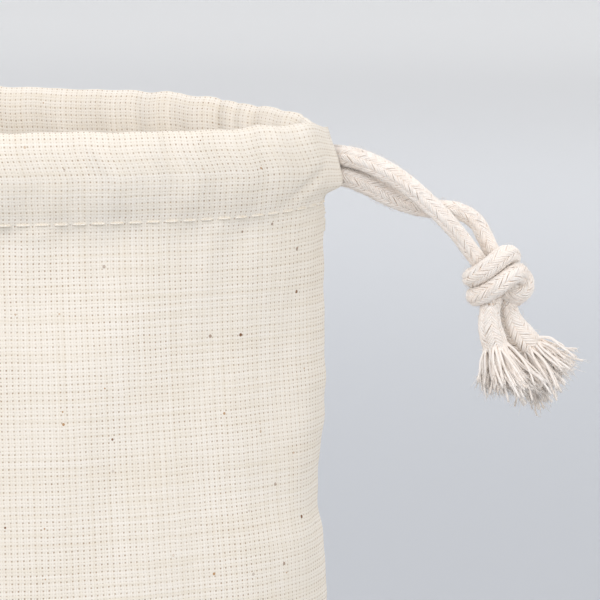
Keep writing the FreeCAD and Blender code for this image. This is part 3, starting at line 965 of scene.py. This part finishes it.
def add_stitches(yarns, lines, outward, tall=0.16 * MM):
    """Stitches along lines (stitch, point, xyz), each rising from the cloth and dipping back."""
    lines, outward = np.asarray(lines, float), np.asarray(outward, float)
    share = np.linspace(0, 1, lines.shape[1])
    rise = -THREAD_DIP + (THREAD_DIP + tall) * np.sin(math.pi * share) ** 0.45
    centres = lines + outward * rise[None, :, None]
    count = len(lines)
    yarns.add(centres, outward, THREAD_HALF, THREAD_HALF, np.zeros(count), 0.0)


def stitch_places(first, last):
    """Distances along a row of stitches: (stitch, point)."""
    starts = np.arange(first, last, STITCH_PITCH)
    return starts[:, None] + np.linspace(0, STITCH_LENGTH, 9)[None, :]


def casing_stitches(panel, name):
    """The topstitching of one casing, on its outer and inner faces."""
    yarns = Yarns()
    first = panel.kinds.index("casing")
    for row, sign in ((first, 1), (len(panel.kinds) - HEM_ROWS, -1)):
        at = stitch_places(1.6 * MM, panel.across[-1] - STITCH_PITCH)
        lines = Path.read(at.ravel(), panel.across, panel.points[row]).reshape(*at.shape, 3)
        outward = sign * Path.read(at.ravel(), panel.across, panel.normals[row]).reshape(*at.shape, 3)
        add_stitches(yarns, lines, outward)
    return yarns.piece(name, THREAD_LOOK)


def side_stitches(panels, end, name):
    """The row that closes a side seam, on both faces of its allowance inside the bag."""
    yarns = Yarns()
    for panel in panels:
        edge = panel.points[:, end]
        wall = [index for index, kind in enumerate(panel.kinds) if kind == "wall"]
        heights, reach = edge[wall, 2], edge[wall, 0]
        z = stitch_places(15 * MM, heights[-1] - STITCH_PITCH)
        x = np.interp(z, heights, reach)
        x = x - np.sign(x) * SEAM_INSET
        y = np.full_like(z, panel.side * (SEAM_GAP + CLOTH))
        outward = np.zeros((*z.shape, 3)) + (0, panel.side, 0)
        add_stitches(yarns, np.stack([x, y, z], -1), outward)
    return yarns.piece(name, THREAD_LOOK)


def straight_stitches(name, start, end, outward):
    """A straight row from start to end."""
    start, end = np.asarray(start, float), np.asarray(end, float)
    length = np.linalg.norm(end - start)
    at = stitch_places(0, length - STITCH_LENGTH)
    lines = start + (end - start) * (at / length)[..., None]
    yarns = Yarns()
    add_stitches(yarns, lines, np.zeros_like(lines) + outward)
    return yarns.piece(name, THREAD_LOOK)


def slit_tack(panels, name):
    """Close-set threads across the side seam at the foot of the slit."""
    front, back = panels
    low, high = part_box("slit_bar_tack")
    lines, outward = [], []
    for height in np.linspace(low.z, high.z, 9):
        ends = []
        for panel in (front, back):
            row = int(np.argmin(np.abs(panel.points[:, 0, 2] - height)))
            at = np.array([2.1, 1.7, 1.3]) * MM
            ends.append(Path.read(at, panel.across, panel.points[row]))
        middle = 0.5 * (ends[0][-1] + ends[1][-1])
        line = np.array([*ends[0], middle, *ends[1][::-1]])
        line[:, 2] = height
        lines.append(line)
        outward.append(np.zeros_like(line) + (1, 0, 0))
    yarns = Yarns()
    add_stitches(yarns, lines, outward, tall=0.12 * MM)
    return yarns.piece(name, THREAD_LOOK)


def allowance(name, corners, away, seed):
    """Two layers of a seam allowance: corners are its start, long side and short side."""
    start, long_side, short_side = (np.asarray(corner, float) for corner in corners)
    away = np.asarray(away, float)
    rows, columns = 9, 81
    v, u = np.meshgrid(np.linspace(0, 1, rows), np.linspace(0, 1, columns), indexing="ij")
    wave = Ripples(seed, 21, 40)
    points, faces, weave = [], [], []
    for layer in (0, 1):
        length = np.linalg.norm(long_side)
        ripple = 0.12 * MM * wave(u * length, 0.01 * layer) * v
        grid = start + u[..., None] * long_side + v[..., None] * short_side * (1 - 0.04 * layer)
        grid = grid + away * (ripple + layer * (CLOTH + 0.06 * MM))[..., None]
        points.append(grid)
        faces.append(grid_faces(rows, columns, start=layer * rows * columns))
        weave.append(np.stack([u * length, v * np.linalg.norm(short_side) + layer, 0 * u], -1))
    return thicken(mesh_piece(name, points, np.concatenate(faces), CLOTH_LOOK, {"weave": weave}), 0.0)


def cord_run(side, height, name, seed):
    """The cord in one casing, from the slit round to the far side, narrower past the slit."""
    turn = np.linspace(0.035, math.pi - 0.01, 120)
    low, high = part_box(name.replace("_run", "_cord_run"))
    middle = 0.5 * (low.z + high.z)
    lead = np.exp(-turn / 0.12)
    x, y = (MOUTH_HALF_WIDTH - 1.3 * MM) * np.cos(turn), side * MOUTH_HALF_DEPTH * np.sin(turn)
    z = middle + (height - middle) * lead
    path = Path(np.stack([x, y, z], -1), step=0.8 * MM)
    yarns = braid(path.length, seed, 0, step=0.9 * MM, plies=(0,), widen=2.9)

    def where(local):
        return lay(path, local, 1 - 0.4 * smooth_step(local[:, :1], 1 * MM, 4 * MM))

    return yarns.piece(name, CORD_LOOK, where)


# ---- stage and light


STAGE_SIDES = 96


def make_stage():
    """A round pale floor that rises to a wall far off, with painted shade near the bag and painted
    light far off.
    """
    n = Nodes("stage_paper")
    axes = n.split(n.object_place())
    flat = n.add("ShaderNodeCombineXYZ", X=axes[0], Y=axes[1])
    far = n.add("ShaderNodeVectorMath", {"operation": "LENGTH"})
    n.put(far.inputs[0], flat.outputs[0])
    # painted shade near the bag and painted light far off: the paper grows lighter with distance,
    # standing in for the fall of light on it
    colour = n.mix(n.ramp(far.outputs["Value"], 0.2, 3.4), linear(194, 197, 201), linear(251, 252, 252))
    paper = n.finish(colour, 0.9, 0.1)
    flat_radii, bend = [0.01, 0.5, 1.0, 2.0, 3.0, 4.0], np.linspace(0.1, 1.57, 12)
    radii = np.concatenate([flat_radii, flat_radii[-1] + np.sin(bend), [5.0]])
    heights = np.concatenate([np.zeros(len(flat_radii)), 1 - np.cos(bend), [3.0]])
    turns = np.linspace(0, 2 * math.pi, STAGE_SIDES + 1)[:-1]
    points = [(r * math.cos(a), r * math.sin(a), z) for r, z in zip(radii, heights) for a in turns]
    floor = mesh_piece("stage_floor", points, grid_faces(len(radii), STAGE_SIDES, closed=True), paper)
    floor.location.z = -0.02 * MM


def make_light(name, place, size, power, colour):
    """A soft square light that faces the upper part of the bag."""
    data = bpy.data.lights.new(name, "AREA")
    data.size, data.energy, data.color = size, power, colour
    light = add_object(name, data)
    light.location = place
    aim = Vector((0.05, 0, 0.15)) - Vector(place)
    light.rotation_euler = aim.to_track_quat("-Z", "Y").to_euler()


def make_lights():
    """High soft key from the front left, a fill from the right, one behind, a pale surround."""
    make_light("key", (-0.12, -0.26, 0.38), 0.2, 0.46, (0.99, 0.97, 1.0))
    make_light("fill", (0.62, -0.4, 0.42), 0.6, 1.35, (1.0, 0.96, 0.92))
    make_light("back", (0.3, 1.4, 1.3), 1.2, 6.9, (0.95, 0.965, 1.0))
    world = bpy.data.worlds.new("surround")
    bpy.context.scene.world = world
    world.use_nodes = True
    world.node_tree.nodes["Background"].inputs[0].default_value = (0.925, 0.92, 0.94, 1)
    world.node_tree.nodes["Background"].inputs[1].default_value = 0.885
    bpy.context.scene.view_settings.view_transform = "Standard"


# ---- the scene

make_camera()
make_stage()
make_lights()


def settle(piece, slot, body, *nodes):
    """Gives a piece its body and hides the CAD nodes it stands for; its finish, slot, is not used."""
    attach(piece, body)
    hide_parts(*nodes)


CORNER_DROP, CORNER_ROW_IN, CORNER_ROW_UP = 0.4 * MM, 0.8 * MM, 2 * MM
BOTTOM_SHIFT, BOTTOM_HEIGHT = 0.2 * MM, 0.95 * MM
BOTTOM_ROW_BACK, BOTTOM_ROW_HEIGHT = 1.5 * MM, 1.62 * MM
ROW_MARGIN = 1 * MM


def settle_on_mouth(piece, slot, word, *nodes):
    """For a piece on one side of the mouth: bakes its place into its mesh and hides the CAD nodes it
    stands for; its finish, slot, and its side, word, are not used.
    """
    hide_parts(*nodes)
    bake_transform(piece)


panels = [Panel("front_cloth", -1, 3), Panel("back_cloth", 1, 47)]
for panel, word in zip(panels, ("front", "back")):
    seam = "right_side_seam" if word == "front" else "left_side_seam"
    piece = panel.build()
    settle_on_mouth(piece, "cotton_cloth", word, word + "_panel", word + "_casing", seam)
    sewn = casing_stitches(panel, word + "_casing_stitches")
    settle_on_mouth(sewn, "sewing_thread", word, word + "_casing_stitching")
    run = cord_run(panel.side, STRAND_HEIGHT[word], word + "_run", 241 + panel.side)
    settle_on_mouth(run, "cotton_cord", word, word + "_cord_run")

for word, end, sign in (("right", 0, 1), ("left", -1, -1)):
    sewn = side_stitches(panels, end, word + "_side_stitches")
    settle(sewn, "sewing_thread", "bag", word + "_side_stitching")
    low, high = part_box(word + "_corner_seam")
    start = (0.5 * (low.x + high.x), low.y, low.z - CORNER_DROP)
    sides = (0, high.y - low.y, 0), (0, 0, high.z - low.z)
    folded = allowance(word + "_corner_allowance", (start, *sides), (-sign, 0, 0), 61 + sign)
    settle(folded, "cotton_cloth", "bag", word + "_corner_seam")
    x, z = start[0] - sign * CORNER_ROW_IN, low.z + CORNER_ROW_UP
    row = (x, low.y + ROW_MARGIN, z), (x, high.y - ROW_MARGIN, z)
    sewn = straight_stitches(word + "_corner_stitches", *row, (-sign, 0, 0))
    settle(sewn, "sewing_thread", "bag", word + "_corner_stitching")

low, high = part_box("bottom_seam")
sides = (high.x - low.x, 0, 0), (0, high.y - low.y, 0)
start = (low.x, low.y - BOTTOM_SHIFT, BOTTOM_HEIGHT)
folded = allowance("bottom_allowance", (start, *sides), (0, 0, 1), 71)
settle(folded, "cotton_cloth", "bag", "bottom_seam")
row = [(x, BOTTOM_ROW_BACK, BOTTOM_ROW_HEIGHT) for x in (low.x + ROW_MARGIN, high.x - ROW_MARGIN)]
sewn = straight_stitches("bottom_stitches", *row, (0, 0, 1))
settle(sewn, "sewing_thread", "bag", "bottom_stitching")
settle(slit_tack(panels, "slit_tack"), "sewing_thread", "bag", "slit_bar_tack")

for word, knot, tail, lean, flare, uneven, seed in (
    ("front", FRONT_KNOT, FRONT_TAIL, (0.10, -0.05, -0.1), 0.3, 0.25, 201),
    ("back", BACK_KNOT, BACK_TAIL, (-0.10, 0.0, -0.1), 0.5, -0.15, 211),
):
    end = make_cord(word + "_tail", nurbs_points(tail), seed, hairs=TAIL_HAIRS, flare=flare)
    loose = make_fray(word + "_yarns", tail, lean, flare, uneven, seed + 1)
    turns = make_cord(word + "_knot_turns", nurbs_points(knot), seed + 2, hairs=STRAND_HAIRS)
    for piece, node in ((end, word + "_end"), (loose, word + "_fray"), (turns, "knot")):
        settle(piece, "cotton_cord", "tassel", node)

for word, route, seed in (("front", FRONT_ROUTE, 221), ("back", BACK_ROUTE, 231)):
    strand, points = make_strand(word + "_braid", route, seed)
    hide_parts(word + "_strand")
    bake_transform(strand)
